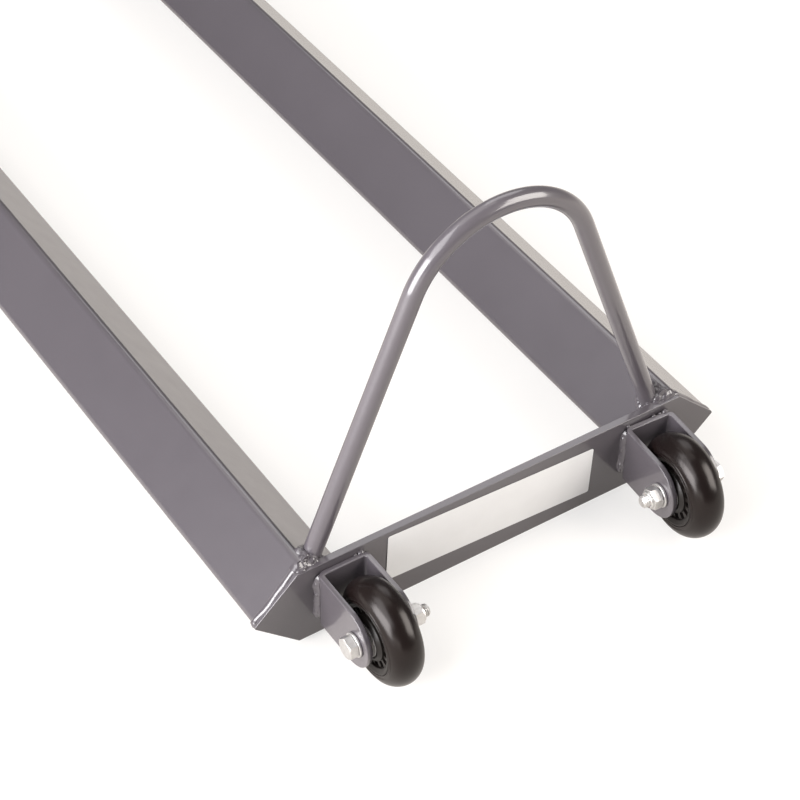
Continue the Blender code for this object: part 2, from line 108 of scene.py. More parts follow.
PLATE_LOW, PLATE_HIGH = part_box("end_plate_front")
PLATE_TOP = PLATE_HIGH.z
PLATE_MIDDLE = (PLATE_LOW.z + PLATE_HIGH.z) / 2
RAIL_LOW, RAIL_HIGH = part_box("rail_right")
RAIL_X = (RAIL_LOW.x + RAIL_HIGH.x) / 2
RAIL_Z = (RAIL_LOW.z + RAIL_HIGH.z) / 2
ENDS = {
    "front": (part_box("end_plate_front")[0].y, 1),
    "rear": (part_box("end_plate_rear")[1].y, -1),
}
SIDES = ((-1, "left"), (1, "right"))
PLATE_THICKNESS = PLATE_HIGH.y - PLATE_LOW.y


# Materials

class Nodes:
    """The node tree of a material or the world, with short ways to add nodes and wire them."""

    def __init__(self, owner):
        owner.use_nodes = True
        self.owner = owner
        self.tree = owner.node_tree
        self.normal = None

    def fill(self, node, *values, **named):
        """Write a node's inputs, or wire other outputs to them, in order or by name with _ for a space."""
        pairs = [*zip(node.inputs, values)]
        pairs += [(node.inputs[name.replace("_", " ")], value) for name, value in named.items()]
        for socket, value in pairs:
            if isinstance(value, bpy.types.NodeSocket):
                self.tree.links.new(value, socket)
            else:
                socket.default_value = value
        return node.outputs

    def add(self, kind, *values, option=(), **named):
        """Outputs of a new node with its inputs filled; an option is the name and value of a setting."""
        node = self.tree.nodes.new(kind)
        if option:
            setattr(node, *option)
        return self.fill(node, *values, **named)

    def noise(self, scale, detail=2.0, roughness=0.5):
        place = self.add("ShaderNodeTexCoord")["Object"]
        return self.add("ShaderNodeTexNoise", Vector=place, Scale=scale, Detail=detail,
                        Roughness=roughness)["Fac"]

    def blend(self, value, start, first, stop, second):
        """Turn from the first tone to the second while a value goes from start to stop."""
        colour = self.add("ShaderNodeValToRGB", value)["Color"]
        for element, place, tone in zip(colour.node.color_ramp.elements, (start, stop), (first, second)):
            element.position = place
            element.color = (*tone, 1.0)
        return colour

    def span(self, value, low, high, start=0.0, stop=1.0):
        """Map a value between start and stop to the range low to high."""
        return self.add("ShaderNodeMapRange", value, start, stop, low, high)["Result"]

    def bump(self, height, distance, strength):
        """Lay one more relief over the ones before."""
        before = {} if self.normal is None else {"Normal": self.normal}
        self.normal = self.add("ShaderNodeBump", Height=height, Distance=distance, Strength=strength,
                               **before)["Normal"]

    def surface(self, colour, rough, **values):
        """The material, finished with a colour, a roughness, the relief and other values."""
        self.fill(self.tree.nodes["Principled BSDF"], Base_Color=colour, Roughness=rough,
                  Normal=self.normal, **values)
        return self.owner


def paint_material(name, painted_light_scale=1.0, gloss_blur=0.11):
    """Grey powder coat: cloudy, finely speckled, with a faint orange peel under its gloss. A scale above one
    lightens all its tones as painted light, standing in for light that falls on the piece.
    """
    n = Nodes(bpy.data.materials.new(name))
    # tones scaled above one are painted light, not a lighter paint
    dark, light, specks = (tuple(painted_light_scale * level for level in tone) for tone in (
        (0.064, 0.0570, 0.0645), (0.070, 0.0625, 0.0705), (0.10, 0.088, 0.10)))
    base = n.blend(n.noise(9.0, 3.0), 0.3, dark, 0.7, light)
    grain = n.span(n.noise(900.0), 0.0, 0.10)
    colour = n.add("ShaderNodeMix", option=("data_type", "RGBA"),
                   Factor=grain, A=base, B=(*specks, 1.0))["Result"]
    n.bump(n.noise(330.0, 2.0, 0.45), 0.00009, 0.35)
    n.bump(n.noise(1500.0), 0.00002, 0.25)
    return n.surface(colour, n.span(n.noise(60.0, 3.0), 0.30, 0.40), IOR=1.45,
                     Coat_Weight=1.0, Coat_Roughness=gloss_blur, Coat_IOR=1.5)


def tyre_material(name):
    n = Nodes(bpy.data.materials.new(name))
    colour = n.blend(n.noise(45.0, 4.0), 0.35, (0.0052, 0.0030, 0.0028), 0.7, (0.0078, 0.0048, 0.0042))
    n.bump(n.noise(160.0), 0.00006, 0.25)
    n.bump(n.noise(1800.0, 3.0, 0.6), 0.000012, 0.5)
    return n.surface(colour, n.span(n.noise(120.0, 4.0), 0.22, 0.28), IOR=1.385,
                     Specular_Tint=(1.0, 0.95, 0.93, 1.0))


def core_material(name):
    n = Nodes(bpy.data.materials.new(name))
    colour = n.blend(n.noise(80.0, 3.0), 0.3, (0.0070, 0.0052, 0.0045), 0.75, (0.0110, 0.0085, 0.0075))
    n.bump(n.noise(2200.0), 0.00003, 0.5)
    return n.surface(colour, n.span(n.noise(200.0, 3.0), 0.32, 0.46), IOR=1.42)


def metal_material(name, shade, light, rough_low, rough_high, metallic):
    n = Nodes(bpy.data.materials.new(name))
    colour = n.blend(n.noise(420.0, 4.0, 0.6), 0.35, shade, 0.62, light)
    n.bump(n.noise(300.0, 1.0), 0.00001, 0.2)
    n.bump(n.noise(1200.0), 0.000002, 0.4)
    return n.surface(colour, n.span(n.noise(700.0, 3.0), rough_low, rough_high), Metallic=metallic)


def label_material(name):
    n = Nodes(bpy.data.materials.new(name))
    colour = n.blend(n.noise(70.0, 4.0), 0.3, (0.725, 0.725, 0.725), 0.75, (0.755, 0.755, 0.755))
    n.bump(n.noise(35.0, 1.0), 0.0006, 0.25)
    n.bump(n.noise(2400.0, 4.0, 0.6), 0.00002, 0.4)
    return n.surface(colour, n.span(n.noise(300.0), 0.38, 0.5), IOR=1.45)


def nylon_material(name):
    n = Nodes(bpy.data.materials.new(name))
    colour = n.blend(n.noise(300.0), 0.3, (0.62, 0.62, 0.60), 0.7, (0.70, 0.70, 0.68))
    n.bump(n.noise(1500.0), 0.00002, 0.4)
    return n.surface(colour, 0.4, Subsurface_Weight=0.2, Subsurface_Scale=0.0005)


# The same paint is a little lighter on bars and bent strips as painted light, standing in for light falling
# on them, and smoother on welds
PAINT = paint_material("grey_powder_coat")
BAR_PAINT_WITH_PAINTED_LIGHT = paint_material("grey_powder_coat_with_painted_light_on_bars", painted_light_scale=1.28)
STRIP_PAINT_WITH_PAINTED_LIGHT = paint_material("grey_powder_coat_with_painted_light_on_strips", painted_light_scale=1.12)
WELD_PAINT = paint_material("grey_powder_coat_on_welds", gloss_blur=0.05)
TYRE = tyre_material("black_polyurethane")
CORE = core_material("black_moulded_plastic")
ZINC = metal_material("zinc_plating", (0.60, 0.59, 0.575), (0.70, 0.69, 0.68), 0.33, 0.45, 0.90)
STEEL = metal_material("ground_bearing_steel", (0.78, 0.77, 0.76), (0.88, 0.87, 0.86), 0.24, 0.34, 0.50)
LABEL = label_material("blank_sticker")
NYLON = nylon_material("nylon_insert")


# Mesh helpers

def put_in_scene(name, data):
    """A new object in the scene for a mesh, a light or a camera."""
    item = bpy.data.objects.new(name, data)
    bpy.context.scene.collection.objects.link(item)
    return item


def axes_matrix(across, up, out, place):
    """Matrix whose three columns are the given directions and whose origin is the given place."""
    matrix = Matrix((across, up, out)).transposed().to_4x4()
    matrix.translation = place
    return matrix


def finish_piece(name, mesh, material, replaces=(), body="frame"):
    """Put a mesh in the scene as a piece that rides on a body and stands for the named nodes."""
    mesh.name = name
    mesh.materials.clear()
    mesh.materials.append(material)
    mesh.shade_smooth()
    mesh.set_sharp_from_angle(angle=SMOOTH_ANGLE)
    item = put_in_scene(name, mesh)
    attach(item, body)
    if replaces:
        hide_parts(*replaces)


def mesh_from(verts, faces, merge=0.0):
    """A mesh with its faces turned outwards, its points merged where they lie closer than a distance."""
    mesh = bpy.data.meshes.new("piece")
    mesh.from_pydata([tuple(v) for v in verts], [], faces)
    work = bmesh.new()
    work.from_mesh(mesh)
    if merge:
        bmesh.ops.remove_doubles(work, verts=work.verts, dist=merge)
    bmesh.ops.recalc_face_normals(work, faces=work.faces)
    work.to_mesh(mesh)
    work.free()
    return mesh


def grid_faces(rows, columns, wrap_rows=False):
    """Quads over a grid of points stored row by row, each row a closed ring."""
    faces = []
    for row in range(rows if wrap_rows else rows - 1):
        for column in range(columns):
            after = (column + 1) % columns
            here, there = row * columns, (row + 1) % rows * columns
            faces.append((here + column, here + after, there + after, there + column))
    return faces


def tube_faces(rows, columns):
    """Grid of closed rings with a cap on the first and the last."""
    faces = grid_faces(rows, columns)
    faces.append(tuple(range(columns))[::-1])
    faces.append(tuple(range((rows - 1) * columns, rows * columns)))
    return faces


def rounded_outline(corners, segments):
    """Outline through corners given as (x, y, radius), each radius turned into an arc."""
    outline = []
    for index, (x, y, radius) in enumerate(corners):
        corner = Vector((x, y))
        if radius <= 0:
            outline.append((x, y))
            continue
        before = (Vector(corners[index - 1][:2]) - corner).normalized()
        after = (Vector(corners[(index + 1) % len(corners)][:2]) - corner).normalized()
        half_angle = before.angle(after) / 2
        start = corner + before * radius / tan(half_angle)
        centre = corner + (before + after).normalized() * radius / sin(half_angle)
        sweep = before.angle_signed(after)
        turn = copysign(pi - abs(sweep), sweep)
        for step in range(segments + 1):
            arm = start - centre
            arm.rotate(Matrix.Rotation(turn * step / segments, 2))
            outline.append(tuple(centre + arm))
    return outline


def rounded_rectangle(half_x, half_y, radius, segments):
    return rounded_outline([(half_x, half_y, radius), (-half_x, half_y, radius),
                            (-half_x, -half_y, radius), (half_x, -half_y, radius)], segments)


def supported(outline, shortest=0.0012, margin=0.00022):
    """The outline with a point close to each end of its long edges, so that flat faces shade flat."""
    result = []
    for index, here in enumerate(outline):
        after = Vector(outline[(index + 1) % len(outline)])
        here = Vector(here)
        result.append(tuple(here))
        run = after - here
        if run.length > shortest:
            step = run.normalized() * margin
            result += [tuple(here + step), tuple(after - step)]
    return result


def turned_point(radius, height, angle):
    """Place of a point at a height along X and a radius and angle round it."""
    return height, radius * cos(angle), radius * sin(angle)


def lathe(profile, steps):
    """Turn a closed profile of (radius, height) about X; heights run along +X."""
    profile = supported(profile)
    verts = [turned_point(radius, height, 2 * pi * step / steps)
             for step in range(steps) for radius, height in profile]
    return mesh_from(verts, grid_faces(steps, len(profile), wrap_rows=True), merge=1e-7)


def joined(meshes):
    """One mesh from several, each kept as its own closed shell."""
    work = bmesh.new()
    for mesh in meshes:
        work.from_mesh(mesh)
    result = bpy.data.meshes.new("joined")
    work.to_mesh(result)
    work.free()
    return result


def placed(mesh, matrix):
    mesh.transform(matrix)
    return mesh


def with_modifiers(mesh, make):
    """Apply modifiers that make(object) adds, and return the new mesh."""
    holder = put_in_scene("holder", mesh)
    extras = make(holder) or []
    evaluated = holder.evaluated_get(bpy.context.evaluated_depsgraph_get())
    result = bpy.data.meshes.new_from_object(evaluated)
    for item in [holder, *extras]:
        bpy.data.objects.remove(item, do_unlink=True)
    return result


def minus(mesh, cutter_mesh):
    """The mesh with another closed mesh cut out of it."""
    def make(holder):
        cutter = put_in_scene("cutter", cutter_mesh)
        modifier = holder.modifiers.new("cut", "BOOLEAN")
        modifier.operation = "DIFFERENCE"
        modifier.object = cutter
        return [cutter]
    return with_modifiers(mesh, make)


def melted(mesh, voxel, smoothing=3):
    """Fuse overlapping shells into one lumpy skin, as weld metal under paint."""
    def make(holder):
        remesh = holder.modifiers.new("fuse", "REMESH")
        remesh.mode = "VOXEL"
        remesh.voxel_size = voxel
        smooth = holder.modifiers.new("smooth", "SMOOTH")
        smooth.iterations = smoothing
        smooth.factor = 0.5
    return with_modifiers(mesh, make)


def bevelled_rows(half, radius, segments, face_margin=0.0004, edge_margin=0.0002):
    """(inset, depth) pairs that run round the two edges of a flat plate, from face to face."""
    rows = [(radius + face_margin, -half)]
    for step in range(segments + 1):
        angle = pi / 2 * step / segments
        rows.append((radius * (1 - sin(angle)), -half + radius * (1 - cos(angle))))
    rows.append((0.0, -half + radius + edge_margin))
    return rows + [(inset, -depth) for inset, depth in reversed(rows)]


# Rails and end plates

RAIL_STATIONS = 24
RAIL_END_MARGIN = 0.0003
PLATE_CORNER_RADIUS = 0.0015


def build_rail(name, side):
    """A square tube that stands on one corner, hollow and open at both ends."""
    def square(tube_side, radius):
        reach = tube_side / sqrt(2)
        corners = [(reach, 0, radius), (0, reach, radius), (-reach, 0, radius), (0, -reach, radius)]
        return supported(rounded_outline(corners, 12))

    outer = square(TUBE_SIDE, TUBE_CORNER_RADIUS)
    inner = square(TUBE_SIDE - 2 * TUBE_WALL, TUBE_CORNER_RADIUS - TUBE_WALL)
    low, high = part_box(name)
    stations = [low.y, low.y + RAIL_END_MARGIN, *np.linspace(low.y, high.y, RAIL_STATIONS)[1:-1],
                high.y - RAIL_END_MARGIN, high.y]
    verts = [(side * RAIL_X + x, y, RAIL_Z + z)
             for outline in (outer, inner) for y in stations for x, z in outline]
    count, rows = len(outer), len(stations)
    offset = rows * count
    faces = grid_faces(rows, count)
    faces += [tuple(index + offset for index in face) for face in faces]
    for start in (0, offset - count):
        for index in range(count):
            after = (index + 1) % count
            faces.append((start + index, start + after, offset + start + after, offset + start + index))
    finish_piece(name + "_tube", mesh_from(verts, faces), PAINT, [name])


def inset_outline(outline, amount, sharpest=0.2):
    """A convex outline moved inwards by the same amount all round, corner by corner."""
    result = []
    count = len(outline)
    for index in range(count):
        before, here, after = (Vector(outline[place]) for place in (index - 1, index, (index + 1) % count))
        first, second = (here - before).normalized(), (after - here).normalized()
        normal = Vector((-first.y, first.x))
        middle = (normal + Vector((-second.y, second.x))).normalized()
        result.append(tuple(here + middle * amount / max(sharpest, middle.dot(normal))))
    return result


def build_end_plate(name):
    """A flat six-sided sheet that closes the rails' ends."""
    low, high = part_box(name)
    half_x, half_y, half_z = ((top - bottom) / 2 for bottom, top in zip(low, high))
    middle_y, middle_z = (low.y + high.y) / 2, (low.z + high.z) / 2
    corner = half_x - PLATE_CUT_RUN
    corners = [(half_x, 0), (corner, half_z), (-corner, half_z),
               (-half_x, 0), (-corner, -half_z), (corner, -half_z)]
    outline = supported(rounded_outline([(x, z, PLATE_CORNER_RADIUS) for x, z in corners], 6))
    rows = bevelled_rows(half_y, PLATE_EDGE_RADIUS, 4)
    verts = [(x, middle_y + depth, middle_z + z)
             for inset, depth in rows for x, z in inset_outline(outline, inset)]
    mesh = mesh_from(verts, tube_faces(len(rows), len(outline)))
    finish_piece(name + "_sheet", mesh, PAINT, [name])


# Hoops

HOOP_SIDES = 40
HOOP_BEND_STEPS = 72
HOOP_LEG_STEPS = 12
FOOT_SINK = 0.0012


def hoop_path():
    """Centre line of one hoop in its own plane, from right foot to left foot."""
    centre_height = HOOP_RISE - HOOP_BEND_RADIUS
    foot_distance = hypot(HOOP_HALF_SPAN, centre_height)
    foot_angle = atan2(-centre_height, HOOP_HALF_SPAN)
    start_angle = foot_angle + acos(HOOP_BEND_RADIUS / foot_distance)
    arc = []
    for step in range(HOOP_BEND_STEPS + 1):
        angle = start_angle + (pi - 2 * start_angle) * step / HOOP_BEND_STEPS
        arc.append(Vector((HOOP_BEND_RADIUS * cos(angle),
                           centre_height + HOOP_BEND_RADIUS * sin(angle))))
    foot = Vector((HOOP_HALF_SPAN, 0.0))
    leg = [foot.lerp(arc[0], step / HOOP_LEG_STEPS) for step in range(HOOP_LEG_STEPS)]
    return leg + arc + [Vector((-point.x, point.y)) for point in reversed(leg)]


def hoop_frame(end):
    """Matrix of a hoop's plane: x across, y up the leaning plane, z towards the outside of the cart."""
    outer_y, inward = ENDS[end]
    setback = PLATE_THICKNESS + GAP + BAR_RADIUS / cos(HOOP_LEAN)
    up = Vector((0, -inward * sin(HOOP_LEAN), cos(HOOP_LEAN)))
    out = Vector((0, -inward * cos(HOOP_LEAN), -sin(HOOP_LEAN)))
    return axes_matrix(Vector((1, 0, 0)), up, out, Vector((0, outer_y + inward * setback, PLATE_TOP)))


def leg_direction(end, side):
    """Direction of one leg of a hoop, from its foot up."""
    points = hoop_path()
    leg = (points[HOOP_LEG_STEPS] - points[0]).normalized()
    return (hoop_frame(end).to_3x3() @ Vector((leg.x * side, leg.y, 0))).normalized()


def rail_normal(side):
    """Direction that a rail's inner upper face looks in."""
    return Vector((-side, 0, 1)).normalized()


def onto_rail(point, along, side, sink=0.0):
    """Where a line through a point meets a rail's inner upper face, or a plane a little under it."""
    normal = rail_normal(side)
    face = Vector((side * RAIL_X, 0, RAIL_Z)) + normal * TUBE_SIDE / 2 - normal * sink
    return point + along * ((face - point).dot(normal) / along.dot(normal))


def build_hoop(name, end):
    """A round bar bent to an arch, whose feet run on to just under the rails' sloping faces."""
    points = hoop_path()
    matrix = hoop_frame(end)
    rings = []
    for index, point in enumerate(points):
        tangent = (points[min(index + 1, len(points) - 1)] - points[max(index - 1, 0)]).normalized()
        across = Vector((tangent.y, -tangent.x))
        ring = []
        for step in range(HOOP_SIDES):
            angle = 2 * pi * step / HOOP_SIDES
            offset = across * cos(angle) * BAR_RADIUS
            local = Vector((point.x + offset.x, point.y + offset.y, sin(angle) * BAR_RADIUS))
            ring.append(matrix @ local)
        rings.append(ring)
    right_foot, left_foot = ([onto_rail(point, leg_direction(end, side), side, FOOT_SINK) for point in ring]
                             for ring, side in ((rings[0], 1), (rings[-1], -1)))
    rings = [right_foot, *rings, left_foot]
    mesh = mesh_from([point for ring in rings for point in ring], tube_faces(len(rings), HOOP_SIDES))
    # the bar's paint is lightened as painted light
    finish_piece(name + "_bar", mesh, BAR_PAINT_WITH_PAINTED_LIGHT, [name])


# Weld beads

# The weld on a plate's sloping edge swells at the left end of the plate and runs out thin at the right
TIP_SWELL = {-1: 1.0, 1: 0.0}
TIP_SWELL_RUN = 0.0035
TIP_INSET = 0.0006
CURL_START = 0.955
CURL_SHARE = 0.09

# Small offset of a bead's rim from the face that it is laid on
RIM_SINK = 0.00012

# Voxel size that each kind of weld is fused with
RAIL_WELD_GRAIN = 0.00032
HOOP_WELD_GRAIN = 0.00030
FORK_WELD_GRAIN = 0.00035
FLOOR_CLEARANCE = 0.0002


def wobble(position, scale, seed):
    """Smooth noise from -1 to 1 at a place."""
    return noise.noise(Vector(position) * scale + Vector((seed * 7.3, seed * 3.1, seed)))


def bead_mesh(path, legs_a, legs_b, outs, size, rise, seed, closed=False, rag=0.16):
    """Rippled weld bead along a path; each point has two leg directions and the way the bead bulges."""
    across, pitch, root = 9, 0.0021, 0.0008
    ripple_depth, ripple_bow, thinnest = 0.112, 0.45, 0.02
    count = len(path)
    runs = [0.0]
    for before, after in zip(path, path[1:]):
        runs.append(runs[-1] + (after - before).length)
    verts = []
    for here, run, leg_a, leg_b, out in zip(path, runs, legs_a, legs_b, outs):
        taper = 1.0
        if not closed:
            edge = min(run, runs[-1] - run) / (size * 1.2)
            taper = max(thinnest, sqrt(max(0.0, 1 - (1 - min(1.0, edge)) ** 2)))
        swell = 1 + rag * wobble(here, 240.0, seed) + 0.6 * rag * wobble(here, 620.0, seed + 5)
        for step in range(across):
            t = step / (across - 1)
            phase = (run / pitch + ripple_bow * sin(pi * t)) % 1.0
            reach = size * swell * taper
            height = rise * (swell + ripple_depth * (phase - 0.5)) * taper
            leg = leg_a * (1 - t) + leg_b * t
            verts.append(here + leg * reach + out * height * sin(pi * t))
        verts.append(here - out * root)
    columns = across + 1
    if closed:
        return mesh_from(verts, grid_faces(count, columns, wrap_rows=True))
    return mesh_from(verts, tube_faces(count, columns))


def straight_bead(start, end, leg_a, leg_b, out, size, rise, seed):
    """Bead of one straight seam between two points."""
    fewest, spacing = 8, 0.00035
    count = max(fewest, int((end - start).length / spacing))
    path = [start.lerp(end, index / (count - 1)) for index in range(count)]
    leg_a, leg_b, out = (v.normalized() for v in (leg_a, leg_b, out))
    return bead_mesh(path, [leg_a] * count, [leg_b] * count, [out] * count, size, rise, seed)


def strip_bead(rows, seed, rag, run_out=7):
    """Bead through rows of four points: it starts at a, arches towards k, ends at b and closes inside."""
    across, thinnest = 15, 0.1
    count = len(rows)
    verts = []
    for index, row in enumerate(rows):
        a, k, b, inside = (Vector(point) for point in row)
        edge = min(index, count - 1 - index) / run_out
        taper = sqrt(max(0.0, 1 - (1 - edge) ** 2)) if edge < 1 else 1.0
        swell = 1 + rag * wobble(k, 110.0, seed) + 0.35 * rag * wobble(k, 330.0, seed + 3)
        k = inside + (k - inside) * swell
        for step in range(across):
            t = step / (across - 1)
            here = a * (1 - t) ** 2 + k * 2 * t * (1 - t) + b * t ** 2
            verts.append(inside + (here - inside) * max(taper, thinnest))
        verts.append(inside)
    return mesh_from(verts, tube_faces(count, across + 1))


def blob(centre, radii, seed):
    """A round tack of weld metal, lumpy all over."""
    work = bmesh.new()
    bmesh.ops.create_icosphere(work, subdivisions=4, radius=1.0)
    for vert in work.verts:
        lump = 1 + 0.14 * wobble(vert.co, 1.7, seed) + 0.05 * wobble(vert.co, 5.0, seed + 2)
        vert.co = Vector(centre) + Vector([part * radius for part, radius in zip(vert.co, radii)]) * lump
    mesh = bpy.data.meshes.new("blob")
    work.to_mesh(mesh)
    work.free()
    return mesh


def rail_outline_height(across):
    """Height of a rail's upper outline over its centre line, at a distance across from that line."""
    reach = TUBE_SIDE / sqrt(2)
    across = abs(across)
    centre = reach - TUBE_CORNER_RADIUS * sqrt(2)
    turn = TUBE_CORNER_RADIUS / sqrt(2)
    if across < turn:
        return centre + sqrt(TUBE_CORNER_RADIUS ** 2 - across ** 2)
    if across > centre + turn:
        return sqrt(max(0.0, TUBE_CORNER_RADIUS ** 2 - (across - centre) ** 2))
    return reach - across


def plate_joint(end):
    """Where an end plate's outer face is, where it meets the rails, and the way into the cart."""
    outer_y, inward = ENDS[end]
    return outer_y, outer_y + inward * (PLATE_THICKNESS + GAP / 2), inward


def edge_weld(end, side, up, seed):
    """Weld over the sloping edge of an end plate; the upper one curls over the plate's top corner."""
    rail_reach, plate_reach, curl_reach, curl_run = 0.0011, 0.0019, 0.0016, 0.004
    crest, swollen_crest, crest_back, root, curl_lift = 0.0021, 0.0012, 0.0006, 0.0014, 0.0004
    outer_y, joint_y, inward = plate_joint(end)
    tip = PLATE_HIGH.x - TIP_INSET
    corner = PLATE_HIGH.x - PLATE_CUT_RUN
    rise = PLATE_TOP - PLATE_MIDDLE
    forward = Vector((0, -inward, 0))
    sloped = 130
    curled = 34 if up > 0 else 0
    rows = []
    for index in range(sloped + curled):
        u = index / (sloped - 1)
        slope = min(u, 1.0)
        past = max(0.0, u - 1.0) * hypot(PLATE_CUT_RUN, rise)
        turn = min(1.0, max(0.0, (u - CURL_START) / CURL_SHARE))
        angle = pi / 4 * (1 + turn)
        normal = Vector((cos(angle), 0, sin(angle)))
        edge = Vector((tip - (tip - corner) * slope - past, 0, rise * slope))
        sway = wobble((edge.x, 0, up * side), 95.0, seed)
        swell = TIP_SWELL[side] * exp(-(tip - edge.x) / TIP_SWELL_RUN)
        back = rail_reach + 0.0005 * sway
        retreat = (plate_reach + 0.0012 * sway) * (1 - swell) + curl_reach * min(1.0, past / curl_run)
        on_rail = rail_outline_height(edge.x - RAIL_X) - RIM_SINK
        height = on_rail if past == 0 else edge.z + curl_lift
        point_a = Vector((edge.x, joint_y + inward * back, max(height, edge.z * 0.4)))
        point_b = edge - normal * (0.0002 + 0.0010 * swell) + Vector((0, outer_y, 0)) - forward * retreat
        point_b += forward * RIM_SINK
        middle = edge + Vector((0, (outer_y + joint_y) / 2, 0))
        bulge = crest + swollen_crest * swell + 0.0005 * sway
        point_k = middle + normal * bulge - forward * (crest_back + 0.0013 * sway)
        inside = middle - normal * root
        rows.append([(side * point.x, point.y, PLATE_MIDDLE + up * point.z)
                     for point in (point_a, point_k, point_b, inside)])
    return strip_bead(rows, seed, rag=0.12)


def crown_weld(end, side, seed):
    """Fillet from a plate's top edge up to the tube's top corner, which closes the tube's open end."""
    start, run, rail_reach, plate_reach, root = 0.0082, 0.0170, 0.0030, 0.0020, 0.0030
    crest_lift, crest_forward, least_lift, root_back = 0.0012, 0.0020, 0.0006, 0.0010
    outer_y, joint_y, inward = plate_joint(end)
    rows = []
    count = 70
    for index in range(count):
        u = index / (count - 1)
        x = start - run * u
        top = RAIL_Z + rail_outline_height(x)
        ripple = wobble((x, u, side), 260.0, seed)
        depth = rail_reach + 0.0007 * ripple
        lift = max(least_lift, (top - PLATE_TOP) * 0.75)
        plate_y = outer_y + inward * (plate_reach + 0.0004 * ripple)
        rows.append([(side * (RAIL_X + x), joint_y + inward * depth, top - 0.0001),
                     (side * (RAIL_X + x), joint_y - inward * crest_forward, PLATE_TOP + lift + crest_lift),
                     (side * (RAIL_X + x * 0.9 - 0.0004), plate_y, PLATE_TOP - 0.0002),
                     (side * (RAIL_X + x * 0.8), joint_y + inward * root_back, PLATE_TOP - root)])
    return strip_bead(rows, seed, rag=0.3)


def rail_welds(end, side):
    """Weld metal that joins one rail to one end plate, all round the tube."""
    bead_size, bead_rise = 0.0030, 0.0006
    outer_y, joint_y, inward = plate_joint(end)
    seed = (1 if end == "front" else 11) + (0 if side > 0 else 5)
    meshes = [edge_weld(end, side, 1, seed), edge_weld(end, side, -1, seed + 1),
              crown_weld(end, side, seed + 7)]
    tip_place = (side * (PLATE_HIGH.x - 0.0026), joint_y - inward * 0.0016, PLATE_MIDDLE + 0.0004)
    tip_radii = [radius * (0.6 + 0.4 * TIP_SWELL[side]) for radius in (0.0024, 0.0034, 0.0027)]
    meshes.append(blob(tip_place, tip_radii, seed + 9))
    if TIP_SWELL[side]:
        corner = PLATE_HIGH.x - PLATE_CUT_RUN
        corner_place = (side * (corner - 0.0042), outer_y + inward * 0.0024, PLATE_TOP + 0.0002)
        meshes.append(blob(corner_place, (0.0034, 0.0020, 0.0012), seed + 12))
    centre = Vector((side * RAIL_X, joint_y, RAIL_Z))
    into = Vector((0, inward, 0))
    half = TUBE_SIDE / 2
    reach = half - TUBE_CORNER_RADIUS * 0.4
    for number, nz in enumerate((1, -1)):
        normal = Vector((-side, 0, nz)).normalized()
        along = Vector((side * nz, 0, 1)).normalized()
        start = centre + normal * half - along * reach
        finish = centre + normal * half + along * reach
        meshes.append(straight_bead(start, finish, into, normal, normal + into, bead_size, bead_rise,
                                    seed + 20 + number))
    return meshes


# Lumps at a hoop's foot: place from its plate side (outwards, into the cart, up) and radii
FOOT_LUMPS = (
    ((0.0025, 0.0004, 0.0042), (0.0038, 0.0028, 0.0030)),
    ((-0.0035, 0.0006, 0.0004), (0.0034, 0.0028, 0.0026)),
    ((0.0080, 0.0018, 0.0068), (0.0030, 0.0030, 0.0020)),
    ((0.0066, 0.0072, 0.0074), (0.0026, 0.0034, 0.0018)),
    ((0.0000, -0.0010, 0.0018), (0.0026, 0.0020, 0.0022)),
)


def hoop_foot_weld(end, side):
    """Ring of weld round one hoop foot, with the lumps where it meets the end plate."""
    bead_size, bead_rise, count = 0.0034, 0.0010, 110
    axis = leg_direction(end, side)
    base = hoop_frame(end) @ Vector((side * HOOP_HALF_SPAN, 0, 0))
    normal = rail_normal(side)
    u = axis.cross(Vector((0, 1, 0))).normalized()
    v = axis.cross(u).normalized()
    path, aways, outs = [], [], []
    for index in range(count):
        angle = 2 * pi * index / count
        radial = u * cos(angle) + v * sin(angle)
        away = (radial - normal * radial.dot(normal)).normalized()
        path.append(onto_rail(base + radial * BAR_RADIUS, axis, side))
        aways.append(away)
        outs.append((axis + away).normalized())
    seed = (21 if end == "front" else 31) + (0 if side > 0 else 4)
    ring = bead_mesh(path, [axis] * count, aways, outs, bead_size, bead_rise, seed, closed=True, rag=0.35)
    inward = ENDS[end][1]
    plate_side = onto_rail(base, axis, side) + Vector((0, -inward * BAR_RADIUS, 0))
    lumps = [blob(plate_side + Vector((side * x, inward * y, z)), radii, seed + number)
             for number, ((x, y, z), radii) in enumerate(FOOT_LUMPS)]
    return [ring, *lumps]


# Tacks beside a fork's back: height as a share of half the strip, reach outwards and radius
FORK_SIDE_TACKS = ((-0.50, 0.0014, 0.0016), (-0.68, 0.0020, 0.0013),
                   (0.18, 0.0010, 0.0014), (0.62, 0.0012, 0.0012))

# Tacks on its top edge: place across and radius; the left fork has only the first two
FORK_TOP_TACKS = ((FORK_OUTER - 0.0045, 0.0017), (FORK_OUTER - 0.0085, 0.0009),
                  (FORK_OUTER - 0.0130, 0.0011), (-FORK_OUTER + 0.0035, 0.0011))


